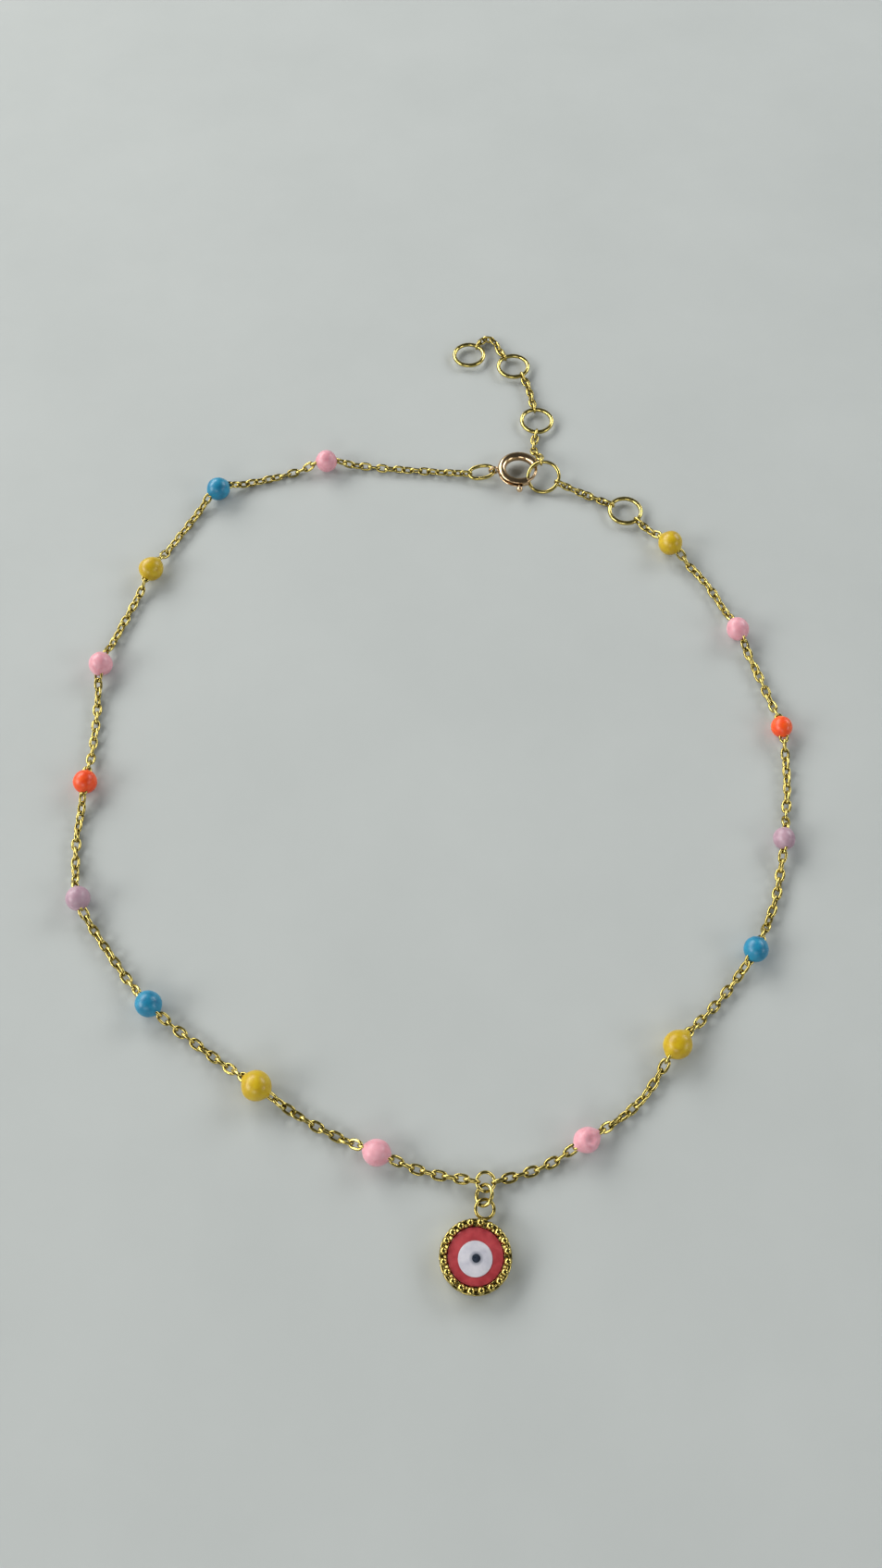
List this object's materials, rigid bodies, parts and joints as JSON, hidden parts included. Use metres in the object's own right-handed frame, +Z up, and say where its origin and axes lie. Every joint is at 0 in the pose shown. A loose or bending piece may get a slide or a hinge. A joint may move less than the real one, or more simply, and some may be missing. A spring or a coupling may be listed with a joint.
{
  "type": "charm anklet",
  "caption": "Fine gold cable-chain anklet lying in a closed loop, with coloured enamel drops, a round evil-eye charm, a spring-ring clasp and an extension of larger rings.",
  "frame": {"origin": "middle of the anklet's outline, on the surface that it lies on", "axes": "+Y from the charm towards the clasp and the extension, +X to the right seen from the charm's side, +Z up from the surface"},
  "size_m": [0.0738, 0.112, 0.0027],
  "materials": {
    "gold": "polished yellow gold plate",
    "rose_gold": "polished rose-toned gold plate",
    "enamel_pink": "glossy enamel",
    "enamel_blue": "glossy enamel",
    "enamel_yellow": "glossy enamel",
    "enamel_orange": "glossy enamel",
    "enamel_lilac": "glossy enamel",
    "enamel_coral": "satin enamel",
    "enamel_white": "satin enamel",
    "enamel_pupil": "glossy enamel"
  },
  "bodies": {
    "anklet": {"chain_left": "gold", "chain_right": "gold", "bead_01": "enamel_pink", "bead_02": "enamel_blue", "bead_03": "enamel_yellow", "bead_04": "enamel_pink", "bead_05": "enamel_orange", "bead_06": "enamel_lilac", "bead_07": "enamel_blue", "bead_08": "enamel_yellow", "bead_09": "enamel_pink", "bead_10": "enamel_pink", "bead_11": "enamel_yellow", "bead_12": "enamel_blue", "bead_13": "enamel_lilac", "bead_14": "enamel_orange", "bead_15": "enamel_pink", "bead_16": "enamel_yellow", "centre_ring": "gold", "jump_ring": "gold", "charm_setting": "gold", "charm_enamel_field": "enamel_coral", "charm_enamel_white": "enamel_white", "charm_enamel_pupil": "enamel_pupil", "connector_ring": "gold", "clasp_body": "rose_gold", "extension_ring_1": "gold", "extension_ring_2": "gold", "extension_ring_3": "gold", "extension_ring_4": "gold", "extension_ring_5": "gold", "extension_chain_1": "gold", "extension_chain_2": "gold", "extension_chain_3": "gold", "extension_chain_4": "gold"},
    "clasp_trigger": {"clasp_trigger": "rose_gold"}
  },
  "joints": [
    {"name": "clasp_trigger_slide", "type": "hinge", "parent": "anklet", "child": "clasp_trigger", "pos_m": [0.00959, 0.03376, 0.001], "axis": [0, 0, -1], "range_deg": [0, 62], "stiffness_Nm_per_rad": 0.001, "springref_deg": -11.46}
  ]
}
